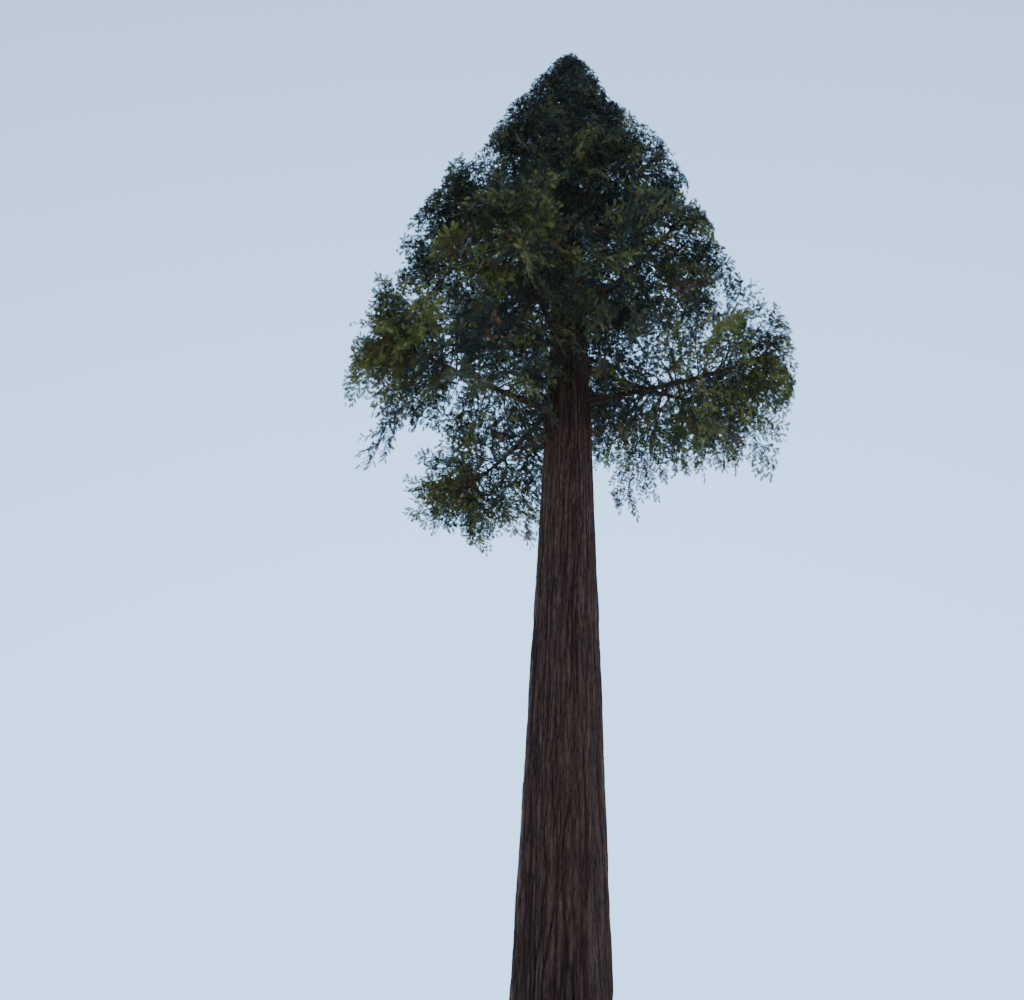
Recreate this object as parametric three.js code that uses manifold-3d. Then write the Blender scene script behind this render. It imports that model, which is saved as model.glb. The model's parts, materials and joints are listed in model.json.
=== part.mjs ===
// A giant redwood, rooted in level ground and scaled evenly to 40 m tall.
// Millimetres, +Z up. The origin is the centre of the flat cut under the trunk.
// The trunk runs whole from the ground to its thin top. Tapering boughs leave it in a spiral and
// each ends where its mass of foliage begins. Masses high in the crown grow from the trunk itself.
import * as THREE from 'three';
import Module from 'manifold-3d';

const wasm = await Module();
wasm.setup();

// Whole tree
const TREE_HEIGHT = 40000;
const TRUNK_TOP = 38800;
const SEAM = 0.3;
const SEEDS = { limb: 1100, mass: 7000, massStep: 31, leader: 9901, core: 5 };

// Trunk: taper, root flare, buttress ridges, shallow flutes and a slight bow
const TRUNK_RADIUS = 718;
const TAPER_POWER = 0.733;
const FLARE = 400;
const FLARE_HEIGHT = 850;
const BUTTRESS = [{ ridges: 5, depth: 0.3, turn: 0.6 }, { ridges: 8, depth: 0.16, turn: 2.1 }];
const FLUTE = { count: 7, depth: 0.03, twist: 1.1 };
const BOW = { x: 70, y: 45 };
const TRUNK_SIDES = 28;
const TRUNK_RINGS = 17;
const RING_CROWDING = 1.7;

// Crown outline: radius at its widest, how it narrows to the top and how it draws in at its foot
const CROWN_BASE = 17000;
const CROWN_RADIUS = 5000;
const CROWN_POWER = 1.15;
const CROWN_FOOT = { share: 0.72, widening: 2 };
const CROWN_MARGIN = 300;

// Limbs: a spiral of boughs with a mass each, then masses straight on the trunk, then the leader.
// The spiral leaves one gap that the crown doesn't have, on its left, and the left bough fills it.
const BOUGHS = { count: 22, lowest: 18700, highest: 31000 };
const UPPER = { count: 11, lowest: 31900, highest: 38100 };
const LEFT_BOUGH = { height: 24200, azimuth: THREE.MathUtils.degToRad(180) };
const GOLDEN_TURN = THREE.MathUtils.degToRad(137.508);
const FIRST_AZIMUTH = THREE.MathUtils.degToRad(204);
const AZIMUTH_JITTER = 0.24;
const HEIGHT_JITTER = 260;
const REACH = [0.9, 1.1];
const LENGTH_TO_CROWN = 1.06;
const ROOT_PITCH = [-0.22, 0.75];
const TIP_PITCH = [0.3, 0.95];
const TIP_PITCH_VARY = [0.75, 1.15];
const SWING = 0.5;
const BOUGH_TO_TRUNK = 0.15;
const LIMB_TAPER = 0.66;
const COLLAR = { swell: 0.55, length: 170 };
const BOUGH_SHARE = 0.4;
const STEM_SHARE = 0.86;
const LIMB_STEPS = 24;
const STEEP = 0.9;
const BOUGH_MESH = { rings: 4, sides: 5 };
const STEM_MESH = { rings: 3, sides: 4 };
const LEADER = { length: 0.7, radius: 0.8, scale: 0.34, centreStep: 8 };

// Foliage: each mass keeps to the cell of space that is nearest to its own centre
const MASS_CENTRE = 0.68;
const MASS_SCALE_POWER = 0.42;
const CELL_GAP = 40;
const LIMB_GAP = 14;
const SHRINKS = [1, 0.85, 0.7, 0.55, 0.4];
const TWIGS_PER_MASS = 11;
const TWIG = { length: 660, sides: 3, tipRadius: 13, rootShare: 0.6, flatness: 0.8 };
const TWIG_START = { low: 0.25, offset: 0.6 };
const TWIG_SHORTENING = [1.15, 0.6];
const TWIG_VARY = [0.8, 1.2];
const SPREAD = [2.0, 0.4];
const SPREAD_VARY = [0.85, 1.15];
const SPRAY = { length: 2150, halfWidth: 0.29, thickness: 0.06, sunk: 0.12, droop: 0.45, roll: 2.2 };
const SPRAY_VARY = [0.85, 1.15];
const SPRAY_TEETH = [[0.42, 1], [0.42, 0.42], [0.78, 0.7]];
const SPRAY_RIDGE = { at: 0.45, rise: 0.5 };
const CORE = { length: 1150, width: 1000, height: 700, rough: 0.2 };

const COLOURS = {
  bark: 0x4a2c22,
  bough: 0x43291f,
  foliage: [0x2f4326, 0x3b4f2a, 0x46562c],
};

// The same repeatable random numbers for the same seed
function seeded(seed) {
  let state = seed >>> 0;
  return () => {
    state = (state + 0x6d2b79f5) >>> 0;
    let t = state;
    t = Math.imul(t ^ (t >>> 15), t | 1);
    t ^= t + Math.imul(t ^ (t >>> 7), t | 61);
    return ((t ^ (t >>> 14)) >>> 0) / 4294967296;
  };
}

function mix([a, b], t) {
  return a + (b - a) * t;
}

// Two directions square to a line and to each other, the first one level unless the line is steep
function squareTo(along) {
  const steep = Math.abs(along.z) > STEEP;
  const side = new THREE.Vector3(steep ? 1 : 0, 0, steep ? 0 : 1).cross(along).normalize();
  return { side, over: along.clone().cross(side) };
}

// Trunk
function trunkCentre(z) {
  const share = z / TREE_HEIGHT;
  return new THREE.Vector3(BOW.x * Math.sin(Math.PI * share), BOW.y * Math.sin(2 * Math.PI * share), z);
}

function taperedRadius(z) {
  return TRUNK_RADIUS * Math.pow(1 - z / TREE_HEIGHT, TAPER_POWER);
}

function trunkRadius(z, angle) {
  const flare = FLARE * Math.exp(-z / FLARE_HEIGHT);
  const buttress = BUTTRESS.reduce((sum, b) => sum + b.depth * Math.cos(b.ridges * angle + b.turn), 1);
  const flute = FLUTE.depth * Math.cos(FLUTE.count * angle + (FLUTE.twist * z) / TREE_HEIGHT);
  return taperedRadius(z) * (1 + flute) + flare * buttress;
}

// A closed skin from rings of points, each ring in the same turn, with flat ends
function skinOf(rings) {
  const sides = rings[0].length;
  const points = rings.flat();
  const triangles = [];
  for (let r = 0; r + 1 < rings.length; r++) {
    for (let s = 0; s < sides; s++) {
      const a = r * sides + s;
      const b = r * sides + ((s + 1) % sides);
      triangles.push(a, b, b + sides, a, b + sides, a + sides);
    }
  }
  const last = (rings.length - 1) * sides;
  for (let s = 1; s + 1 < sides; s++) {
    triangles.push(0, s + 1, s, last, last + s, last + s + 1);
  }
  return { points, triangles };
}

function solidOf({ points, triangles }) {
  return new wasm.Manifold(new wasm.Mesh({
    numProp: 3,
    vertProperties: new Float32Array(points.flatMap((p) => [p.x, p.y, p.z])),
    triVerts: new Uint32Array(triangles),
  }));
}

function geometryOf(solid) {
  const mesh = solid.getMesh();
  const geometry = new THREE.BufferGeometry();
  geometry.setAttribute('position', new THREE.BufferAttribute(new Float32Array(mesh.vertProperties), 3));
  geometry.setIndex(new THREE.BufferAttribute(new Uint32Array(mesh.triVerts), 1));
  geometry.computeVertexNormals();
  return geometry;
}

// The trunk's rings stand closer together in the flare, where it curves most
function trunkSolid(extra) {
  const rings = [];
  for (let r = 0; r <= TRUNK_RINGS; r++) {
    const z = TRUNK_TOP * Math.pow(r / TRUNK_RINGS, RING_CROWDING);
    const centre = trunkCentre(z);
    const ring = [];
    for (let s = 0; s < TRUNK_SIDES; s++) {
      const angle = (2 * Math.PI * s) / TRUNK_SIDES;
      const radius = trunkRadius(z, angle) + extra;
      const spoke = new THREE.Vector3(Math.cos(angle), Math.sin(angle), 0);
      ring.push(centre.clone().addScaledVector(spoke, radius));
    }
    rings.push(ring);
  }
  return solidOf(skinOf(rings));
}

// How high a point stands in the crown, from 0 at the crown's base to 1 at the tree's top
function upCrown(z) {
  return Math.min(1, Math.max(0, (z - CROWN_BASE) / (TREE_HEIGHT - CROWN_BASE)));
}

// How far the foliage reaches from the trunk at each height
function crownRadius(z) {
  const t = upCrown(z);
  const drawnIn = Math.min(1, CROWN_FOOT.share + CROWN_FOOT.widening * t);
  return CROWN_RADIUS * (1 - Math.pow(t, CROWN_POWER)) * drawnIn;
}

// A limb's middle line: it leaves the trunk's axis at one pitch, ends at another and swings sideways
function limbLine(limb) {
  const line = [trunkCentre(limb.height)];
  const step = limb.length / LIMB_STEPS;
  for (let k = 0; k < LIMB_STEPS; k++) {
    const t = (k + 0.5) / LIMB_STEPS;
    const pitch = mix([limb.pitchRoot, limb.pitchTip], t);
    const azimuth = limb.azimuth + limb.swing * t;
    line.push(line[k].clone().add(new THREE.Vector3(
      step * Math.cos(pitch) * Math.cos(azimuth),
      step * Math.cos(pitch) * Math.sin(azimuth),
      step * Math.sin(pitch),
    )));
  }
  return line;
}

function limbPoint(limb, share) {
  const at = Math.min(LIMB_STEPS - 1e-6, share * LIMB_STEPS);
  const k = Math.floor(at);
  return limb.line[k].clone().lerp(limb.line[k + 1], at - k);
}

function limbDirection(limb, share) {
  const k = Math.min(LIMB_STEPS - 1, Math.floor(share * LIMB_STEPS));
  return limb.line[k + 1].clone().sub(limb.line[k]).normalize();
}

// A limb tapers to its tip and swells into a collar where it leaves the bark
function limbRadius(limb, share) {
  const fromBark = Math.max(0, share * limb.length - taperedRadius(limb.height));
  return limb.radius * (1 - LIMB_TAPER * share) * (1 + COLLAR.swell * Math.exp(-fromBark / COLLAR.length));
}

// Where each limb leaves the trunk, before it is moved a little at random
function limbSpots() {
  const spiral = Array.from({ length: BOUGHS.count + UPPER.count }, (_, i) => {
    const hasBough = i < BOUGHS.count;
    const group = hasBough ? BOUGHS : UPPER;
    const k = hasBough ? i : i - BOUGHS.count;
    return {
      name: String(i + 1).padStart(2, '0'),
      hasBough,
      height: mix([group.lowest, group.highest], k / (group.count - 1)),
      azimuth: FIRST_AZIMUTH + i * GOLDEN_TURN,
    };
  });
  return [...spiral, { name: 'left', hasBough: true, ...LEFT_BOUGH }];
}

function makeLimb(spot, i) {
  const rand = seeded(SEEDS.limb + i);
  const height = spot.height + HEIGHT_JITTER * (rand() - 0.5);
  const azimuth = spot.azimuth + AZIMUTH_JITTER * (rand() - 0.5);
  const reach = mix(REACH, rand());
  const limb = {
    name: spot.name,
    seed: SEEDS.mass + SEEDS.massStep * i,
    hasBough: spot.hasBough,
    height,
    azimuth,
    reach,
    length: LENGTH_TO_CROWN * reach * crownRadius(height),
    pitchRoot: mix(ROOT_PITCH, upCrown(height)),
    pitchTip: mix(TIP_PITCH, upCrown(height)) * mix(TIP_PITCH_VARY, rand()),
    swing: SWING * (rand() - 0.5),
    radius: BOUGH_TO_TRUNK * taperedRadius(height),
    stemStart: spot.hasBough ? BOUGH_SHARE : 0,
    scale: Math.pow(crownRadius(height) / CROWN_RADIUS, MASS_SCALE_POWER),
  };
  limb.line = limbLine(limb);
  limb.centre = limbPoint(limb, MASS_CENTRE);
  return limb;
}

// The leader is the last upright shoot above the trunk's top
function makeLeader() {
  const length = TREE_HEIGHT - TRUNK_TOP;
  const line = Array.from({ length: LIMB_STEPS + 1 }, (_, k) => {
    const rise = SEAM + (k / LIMB_STEPS) * length * LEADER.length;
    return trunkCentre(TRUNK_TOP).add(new THREE.Vector3(0, 0, rise));
  });
  return {
    name: 'leader',
    seed: SEEDS.leader,
    hasBough: false,
    leader: true,
    height: TRUNK_TOP,
    reach: 1,
    length,
    radius: LEADER.radius * taperedRadius(TRUNK_TOP),
    stemStart: 0,
    scale: LEADER.scale,
    line,
    centre: line[LEADER.centreStep].clone(),
  };
}

// A tapering tube along a line of points, with each ring square to the direction given for it
function tube(line, directions, radii, sides) {
  return skinOf(line.map((p, k) => {
    const { side, over } = squareTo(directions[k]);
    return Array.from({ length: sides }, (_, s) => {
      const angle = (2 * Math.PI * s) / sides;
      return p.clone()
        .addScaledVector(side, radii[k] * Math.cos(angle))
        .addScaledVector(over, radii[k] * Math.sin(angle));
    });
  }));
}

function limbTube(limb, from, to, { rings, sides }, extra) {
  const shares = Array.from({ length: rings + 1 }, (_, k) => mix([from, to], k / rings));
  return tube(
    shares.map((share) => limbPoint(limb, share)),
    shares.map((share) => limbDirection(limb, share)),
    shares.map((share) => limbRadius(limb, share) + extra),
    sides,
  );
}

function boughSolid(limb, extra) {
  return solidOf(limbTube(limb, 0, BOUGH_SHARE, BOUGH_MESH, extra));
}

// A flat toothed spray: two pairs of teeth and a tip, with a ridge above and below its middle
function spraySkin(root, along, across, length) {
  const up = along.clone().cross(across).normalize();
  const outline = [
    [0, 0],
    ...SPRAY_TEETH.map(([x, y]) => [x, -y]),
    [1, 0],
    ...SPRAY_TEETH.map(([x, y]) => [x, y]).reverse(),
  ];
  const place = (x, y, z) => root.clone()
    .addScaledVector(along, x * length)
    .addScaledVector(across, y * SPRAY.halfWidth * length)
    .addScaledVector(up, z * SPRAY.thickness * length);
  const points = outline.map(([x, y]) => place(x, y, 0));
  const top = points.push(place(SPRAY_RIDGE.at, 0, SPRAY_RIDGE.rise)) - 1;
  const bottom = points.push(place(SPRAY_RIDGE.at, 0, -SPRAY_RIDGE.rise)) - 1;
  const triangles = outline.flatMap((_, k) => {
    const next = (k + 1) % outline.length;
    return [k, next, top, next, k, bottom];
  });
  return { points, triangles };
}

// A lumpy core: the foliage at the middle of a mass is too dense to see through
function coreSkin(centre, along, scale, rand) {
  const { side, over } = squareTo(along);
  const position = new THREE.IcosahedronGeometry(1, 0).getAttribute('position');
  const seen = new Map();
  const points = [];
  const triangles = [];
  for (let k = 0; k < position.count; k++) {
    const p = new THREE.Vector3().fromBufferAttribute(position, k);
    const key = [p.x, p.y, p.z].map((c) => c.toFixed(4)).join();
    if (!seen.has(key)) {
      const lump = 1 + CORE.rough * (2 * rand() - 1);
      seen.set(key, points.length);
      points.push(centre.clone()
        .addScaledVector(along, CORE.length * scale * lump * p.x)
        .addScaledVector(side, CORE.width * scale * lump * p.y)
        .addScaledVector(over, CORE.height * scale * lump * p.z));
    }
    triangles.push(seen.get(key));
  }
  return { points, triangles };
}

// The flat walls that keep each mass apart from its neighbours
function cellWalls(limb, limbs) {
  return limbs.filter((other) => other !== limb).map((other) => {
    const normal = other.centre.clone().sub(limb.centre).normalize();
    const middle = other.centre.clone().add(limb.centre).multiplyScalar(0.5);
    return { normal, reach: normal.dot(middle) - CELL_GAP / 2 };
  });
}

function insideSpace(limb, points, walls) {
  return points.every((p) => p.z < TREE_HEIGHT
    && Math.hypot(p.x, p.y) < limb.reach * crownRadius(p.z) + CROWN_MARGIN
    && walls.every((w) => w.normal.dot(p) < w.reach));
}

// One twig of a mass: where it leaves the stem, which way it spreads and how its spray lies
function twigPlan(limb, j, rand) {
  const u = (j + TWIG_START.offset) / TWIGS_PER_MASS;
  const share = mix([limb.stemStart, STEM_SHARE], limb.hasBough ? u : mix([TWIG_START.low, 1], u));
  const stem = limbDirection(limb, share);
  const { side, over } = squareTo(stem);
  const spread = mix(SPREAD, u) * mix(SPREAD_VARY, rand());
  const round = j * GOLDEN_TURN + limb.seed;
  const along = stem.multiplyScalar(Math.cos(spread))
    .addScaledVector(side, Math.sin(spread) * Math.cos(round))
    .addScaledVector(over, TWIG.flatness * Math.sin(spread) * Math.sin(round))
    .normalize();
  const length = TWIG.length * limb.scale * mix(TWIG_SHORTENING, u) * mix(TWIG_VARY, rand());
  const sprayAlong = along.clone().add(new THREE.Vector3(0, 0, -SPRAY.droop)).normalize();
  const level = new THREE.Vector3(0, 0, 1).cross(sprayAlong).normalize();
  const across = level.applyAxisAngle(sprayAlong, SPRAY.roll * (rand() - 0.5));
  const sprayLength = SPRAY.length * limb.scale * mix(SPRAY_VARY, rand());
  return { share, along, length, sprayAlong, across, sprayLength };
}

// A twig and its spray, shrunk until they keep to their space and clear of the limbs, or left out
function twigSolid(limb, plan, walls, keepOut) {
  const start = limbPoint(limb, plan.share);
  const rootRadius = Math.max(TWIG.tipRadius, TWIG.rootShare * limbRadius(limb, plan.share));
  for (const shrink of SHRINKS) {
    const end = start.clone().addScaledVector(plan.along, plan.length * shrink);
    const twig = tube([start, end], [plan.along, plan.along], [rootRadius, TWIG.tipRadius], TWIG.sides);
    const sprayLength = plan.sprayLength * shrink;
    const root = end.clone().addScaledVector(plan.along, -SPRAY.sunk * sprayLength);
    const spray = spraySkin(root, plan.sprayAlong, plan.across, sprayLength);
    if (!insideSpace(limb, [...twig.points, ...spray.points], walls)) continue;
    const solid = solidOf(twig).add(solidOf(spray));
    if (solid.intersect(keepOut).isEmpty()) return solid;
  }
  return null;
}

function coreSolid(limb, walls, keepOut, rand) {
  const along = limb.leader ? new THREE.Vector3(1, 0, 0) : limbDirection(limb, MASS_CENTRE);
  for (const shrink of SHRINKS) {
    const skin = coreSkin(limbPoint(limb, MASS_CENTRE), along, limb.scale * shrink, rand);
    if (!insideSpace(limb, skin.points, walls)) continue;
    const solid = solidOf(skin);
    if (solid.intersect(keepOut).isEmpty()) return solid;
  }
  return null;
}

function largestPiece(solid) {
  return solid.decompose().reduce((best, piece) => (piece.volume() > best.volume() ? piece : best));
}

// A mass of foliage: its stem, its core and its twigs with their sprays, all fused
function massSolid(limb, limbs, keepOut) {
  const rand = seeded(limb.seed);
  const walls = cellWalls(limb, limbs);
  const from = limb.hasBough ? BOUGH_SHARE + SEAM / limb.length : 0;
  const parts = [solidOf(limbTube(limb, from, STEM_SHARE, STEM_MESH, 0))];
  const core = coreSolid(limb, walls, keepOut, seeded(limb.seed + SEEDS.core));
  if (core) parts.push(core);
  for (let j = 0; j < TWIGS_PER_MASS; j++) {
    const twig = twigSolid(limb, twigPlan(limb, j, rand), walls, keepOut);
    if (twig) parts.push(twig);
  }
  return wasm.Manifold.union(parts);
}

function matt(color, roughness) {
  return new THREE.MeshStandardMaterial({ color, roughness, metalness: 0 });
}

const bark = matt(COLOURS.bark, 0.95);
const boughBark = matt(COLOURS.bough, 0.95);
const greens = COLOURS.foliage.map((color) => matt(color, 0.8));

const tree = new THREE.Group();

function addNode(name, solid, material) {
  const mesh = new THREE.Mesh(geometryOf(solid), material);
  mesh.name = name;
  tree.add(mesh);
}

const limbs = [...limbSpots().map(makeLimb), makeLeader()];
const boughLimbs = limbs.filter((limb) => limb.hasBough);
const trunkSeam = trunkSolid(SEAM);
const keepOut = wasm.Manifold.union([
  trunkSolid(LIMB_GAP),
  ...boughLimbs.map((limb) => boughSolid(limb, LIMB_GAP)),
]);

addNode('trunk', trunkSolid(0), bark);
for (const limb of boughLimbs) {
  addNode(`bough_${limb.name}`, largestPiece(boughSolid(limb, 0).subtract(trunkSeam)), boughBark);
}
limbs.forEach((limb, i) => {
  const whole = massSolid(limb, limbs, keepOut);
  const cut = limb.hasBough || limb.leader ? whole : whole.subtract(trunkSeam);
  addNode(`foliage_${limb.name}`, largestPiece(cut), greens[i % greens.length]);
});

export default tree;
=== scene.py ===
"""The looks of a redwood tree that stands 40 m tall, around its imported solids.

The trunk and limbs get their bark. Each mass of foliage grows again by the rule of the part's source, from
the same seeds and within the same reach, and is carried on to twiglets and small sprays. Lengths are in
metres and angles in radians, unless a comment says otherwise.
"""
import json
import math
from typing import NamedTuple

import bpy
import numpy as np
from mathutils import Matrix, Vector


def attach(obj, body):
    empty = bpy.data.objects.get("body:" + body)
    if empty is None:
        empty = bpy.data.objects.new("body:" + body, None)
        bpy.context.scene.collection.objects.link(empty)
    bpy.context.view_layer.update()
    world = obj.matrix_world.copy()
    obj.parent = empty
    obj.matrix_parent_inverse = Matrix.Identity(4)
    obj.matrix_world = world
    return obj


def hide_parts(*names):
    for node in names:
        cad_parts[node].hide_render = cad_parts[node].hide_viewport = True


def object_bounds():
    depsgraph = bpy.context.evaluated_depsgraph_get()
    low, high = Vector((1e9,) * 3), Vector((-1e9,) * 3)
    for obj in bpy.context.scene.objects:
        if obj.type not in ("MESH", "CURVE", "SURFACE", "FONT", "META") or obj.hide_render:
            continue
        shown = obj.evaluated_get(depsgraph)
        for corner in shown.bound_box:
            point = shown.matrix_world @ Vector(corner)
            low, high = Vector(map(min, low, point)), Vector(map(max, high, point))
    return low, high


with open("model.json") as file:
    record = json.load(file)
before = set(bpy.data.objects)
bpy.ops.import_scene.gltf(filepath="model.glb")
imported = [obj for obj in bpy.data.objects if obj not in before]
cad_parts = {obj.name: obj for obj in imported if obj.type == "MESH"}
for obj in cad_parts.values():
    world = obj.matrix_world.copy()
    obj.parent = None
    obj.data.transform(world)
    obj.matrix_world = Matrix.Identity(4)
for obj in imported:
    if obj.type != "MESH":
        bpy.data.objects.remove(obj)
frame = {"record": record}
cad_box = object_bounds()

# The tree's rule, with the sizes of the part's source: first the trunk
TREE_HEIGHT = 40.0
TRUNK_TOP = 38.8
TRUNK_RADIUS = 0.718
TAPER_POWER = 0.733
FLARE = 0.4
FLARE_HEIGHT = 0.85
BUTTRESS = ((5, 0.3, 0.6), (8, 0.16, 2.1))
FLUTES = 7
FLUTE_DEPTH = 0.03
FLUTE_TWIST = 1.1
BOW = (0.07, 0.045)
SEAM = 0.0003
SEEDS = {"limb": 1100, "mass": 7000, "mass_step": 31, "leader": 9901}

# The crown's outline
CROWN_BASE = 17.0
CROWN_RADIUS = 5.0
CROWN_POWER = 1.15
CROWN_FOOT = (0.72, 2)
CROWN_MARGIN = 0.3

# Limbs
BOUGH_COUNT = 22
BOUGH_HEIGHTS = (18.7, 31.0)
UPPER_COUNT = 11
UPPER_HEIGHTS = (31.9, 38.1)
LEFT_BOUGH = (24.2, math.radians(180))
GOLDEN_TURN = math.radians(137.508)
FIRST_AZIMUTH = math.radians(204)
AZIMUTH_JITTER = 0.24
HEIGHT_JITTER = 0.26
REACH = (0.9, 1.1)
LENGTH_TO_CROWN = 1.06
ROOT_PITCH = (-0.22, 0.75)
TIP_PITCH = (0.3, 0.95)
TIP_PITCH_VARY = (0.75, 1.15)
SWING = 0.5
BOUGH_TO_TRUNK = 0.15
LIMB_TAPER = 0.66
COLLAR_SWELL = 0.55
COLLAR_LENGTH = 0.17
BOUGH_SHARE = 0.4
STEM_SHARE = 0.86
LIMB_STEPS = 24
STEEP = 0.9
LEADER_LENGTH = 0.7
LEADER_RADIUS = 0.8
LEADER_SCALE = 0.34
LEADER_CENTRE = 8

# Masses of foliage, with twigs that end in fans
MASS_CENTRE = 0.68
MASS_SCALE_POWER = 0.42
CELL_GAP = 0.04
LIMB_GAP = 0.014
SHRINKS = (1, 0.85, 0.7, 0.55, 0.4)
TWIG_LENGTH = 0.66
TWIG_TIP_RADIUS = 0.013
TWIG_ROOT_SHARE = 0.6
TWIG_FLATNESS = 0.8
TWIG_LOW_START = 0.25
TWIG_OFFSET = 0.6
TWIG_SHORTENING = (1.15, 0.6)
TWIG_VARY = (0.8, 1.2)
SPREAD_VARY = (0.85, 1.15)
FAN_LENGTH = 2.15
FAN_HALF_WIDTH = 0.29
FAN_SUNK = 0.12
FAN_DROOP = 0.45
FAN_ROLL = 2.2
FAN_VARY = (0.85, 1.15)
FAN_TEETH = ((0.42, 1), (0.78, 0.7), (1, 0))

# The crown's rough edge: how many bays go round it, their height, and how deep they are
ROUGH_EDGE = ((13, 1.1, 0.26), (29, 0.5, 0.16))
EDGE_AT_TIP = 0.4
EDGE_REACH = 0.1
EDGE_SEED = 3
BOX_MARGIN = 0.1

# Growth that the solids leave to this script: the bend of a twig, and twiglets in two ranks along its fan
TWIG_BEND = 0.55
TWIG_BEND_TAPER = 0.6
FAN_START = 0.1
FAN_CHECKS = 10
FAN_ARCH = 0.07
FAN_TAPER = (1.05, 0.2)
FAN_OUTLINE = ((0, 0.4), (0.2, 0.8), (0.45, 1), (0.8, 0.78), (1, 0.26))
TWIGLET_SPACING = 0.115
TWIGLET_FEWEST = 4
TWIGLET_PLACE = (0.4, 0.9)
TWIGLET_ANGLES = (1.05, 0.62)
TWIGLET_ANGLE_VARY = (0.85, 1.15)
TWIGLET_LEAST_ANGLE = 0.5
TWIGLET_VARY = (0.72, 1.12)
TWIGLET_SHORTEST = 0.1
TWIGLET_SHRINKS = (1, 0.8, 0.6, 0.4)
TWIGLET_TILT = 0.4
TWIGLET_SAG = 0.2
TWIGLET_RADIUS = 0.0055
TWIGLET_RINGS = ((0.0, 1), (0.5, 0.7))
TWIGLET_SIDES = 3

# Sprays in two ranks along each twiglet
SPRAY_SPACING = 0.046
SPRAY_FEWEST = 2
SPRAY_PLACE = (0.3, 0.9)
LAST_SPRAY_PLACE = 0.97
LAST_SPRAY_TURN = 0.2
SPRAY_LENGTH = (0.13, 0.2)
SPRAY_SHORTENING = 0.25
SPRAY_SHADE_GROWTH = 0.14
SPRAY_HALF_WIDTH = 0.33
SPRAY_ANGLE = 0.8
SPRAY_ANGLE_VARY = (0.7, 1.3)
SPRAY_TILT = 0.55
SPRAY_DROOP = 0.25
SPRAY_SEED = 42

# One spray: a blade of forward-swept teeth that stand in turn on its two sides, lower at their tips
SPRAY_TEETH = 4
TEETH_OF_SIDE = {-1: (0.0, 0.8), 1: (0.11, 0.92)}
TOOTH_SWEEP = 0.2
TOOTH_SAG = 0.06
SPRAY_SAG = 0.12
SPRAY_PROFILE = ((0, 0.55), (0.3, 0.98), (0.55, 1), (1, 0.4))
SPRAY_END = ((0.78, -0.1), (0.9, 0.09), (1.0, 0.0))

# What gives a fan and its sprays more light, painted into their leaves as a lighter colour, and how many
# turn russet, the dry leaves' own colour
FAN_LIGHT = {"outward": 0.62, "low": 1.05, "vary": 0.34}
SPRAY_LIGHT = {"rim": 0.3, "vary": 0.16}
LIGHT_STEPS = (1.0, 1.42, 1.76)
RUSSET_TWIGLETS = {"least": 0.004, "low": 0.075, "power": 3}
RUSSET_ON_TWIGLET = 0.8

# The trunk's bark: its grid, and how deep its relief is
TRUNK_SIDES = 340
TRUNK_RINGS = 280
TRUNK_CROWDING = 1.35
RIDGE_DEPTH = 0.045
RIDGE_DEPTH_POWER = 0.7
RIDGE_DEPTH_AT_FLARE = 0.5
RIDGE_SEED = 5
SURFACE_RELIEF = 0.62
TRUNK_END_RELIEF = 0.3

# Families of furrows: how many go round, their half width in spacings, the height of their bends, and depth
FURROWS = ((29, 0.19, 6.0, 1.0), (21, 0.15, 4.1, 0.9), (47, 0.22, 2.4, 0.55), (13, 0.07, 9.0, 1.0))
FURROW_PRESENCE = 0.8
FURROW_BREAKS = 0.6
FURROW_POWER = 0.8
FURROW_DROP = 0.9
RIDGE_TOP = 0.84

# Noise that moves the furrows sideways: weight, cells round the trunk, and divisor of their bends' height
WANDER = ((1.1, 5, 1), (0.6, 17, 3), (0.3, 61, 9))

# Noise in the bark's height: weight, cells round the trunk, and cell height
PLATES = ((0.2, 34, 0.9),)
ROUGHNESS = ((0.12, 90, 0.4), (0.12, 170, 0.22))

# The limbs' bark
LIMB_SIDES = 12
LIMB_RINGS = 46
LIMB_ROOT = 0.02
LIMB_RIDGES = 4
LIMB_TWIST = 9
LIMB_TURN = 6
LIMB_RELIEF = 0.55
LIMB_RELIEF_VARY = 0.25
LIMB_LUMPS = 0.16
LIMB_END_RELIEF = 0.4

# Photograph: its frame, the zenith's vanishing point from its middle, and where the camera stands
IMAGE_WIDTH = 1024
FOCAL_PIXELS = 1080
ZENITH = (63, 940)
CAMERA_YAW = math.radians(-4.15)
CAMERA_PLACE = Vector((0, -13.33, 0.8))
SENSOR_WIDTH = 36

# Floor and sky, which is dim on the camera's side and bright behind the tree
FLOOR_REACH = 450
FLOOR_SIDES = 180
FLOOR_COLOUR = (0.55, 0.55, 0.54, 1)
FLOOR_ROUGHNESS = 0.9
CLIP_REACH = 3 * FLOOR_REACH
SKY_STOPS = ((0.0, (0.14, 0.18, 0.24)), (0.45, (0.2, 0.28, 0.39)), (0.85, (0.46, 0.76, 1.16)))
SKY_STRENGTH = 2.4

# Each sun's direction, strength, width in degrees and colour
SUNS = {
    "sun_behind": ((-0.42, 0.75, 0.72), 2.6, 8, (1.0, 0.9, 0.74)),
    "soft_fill": ((0.85, -0.75, 0.4), 0.3, 40, (0.8, 0.88, 1.0)),
}


# Random numbers and mixing, as in the part's source
def seeded(seed):
    state = seed
    mask = 0xFFFFFFFF

    def draw():
        nonlocal state
        state = (state + 0x6D2B79F5) & mask
        t = state
        t = ((t ^ (t >> 15)) * (t | 1)) & mask
        t ^= (t + ((t ^ (t >> 7)) * (t | 61))) & mask
        return (t ^ (t >> 14)) / 4294967296

    return draw


def mix(pair, t):
    return pair[0] + (pair[1] - pair[0]) * t


def unit(v):
    return v / np.linalg.norm(v, axis=-1, keepdims=True)


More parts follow.
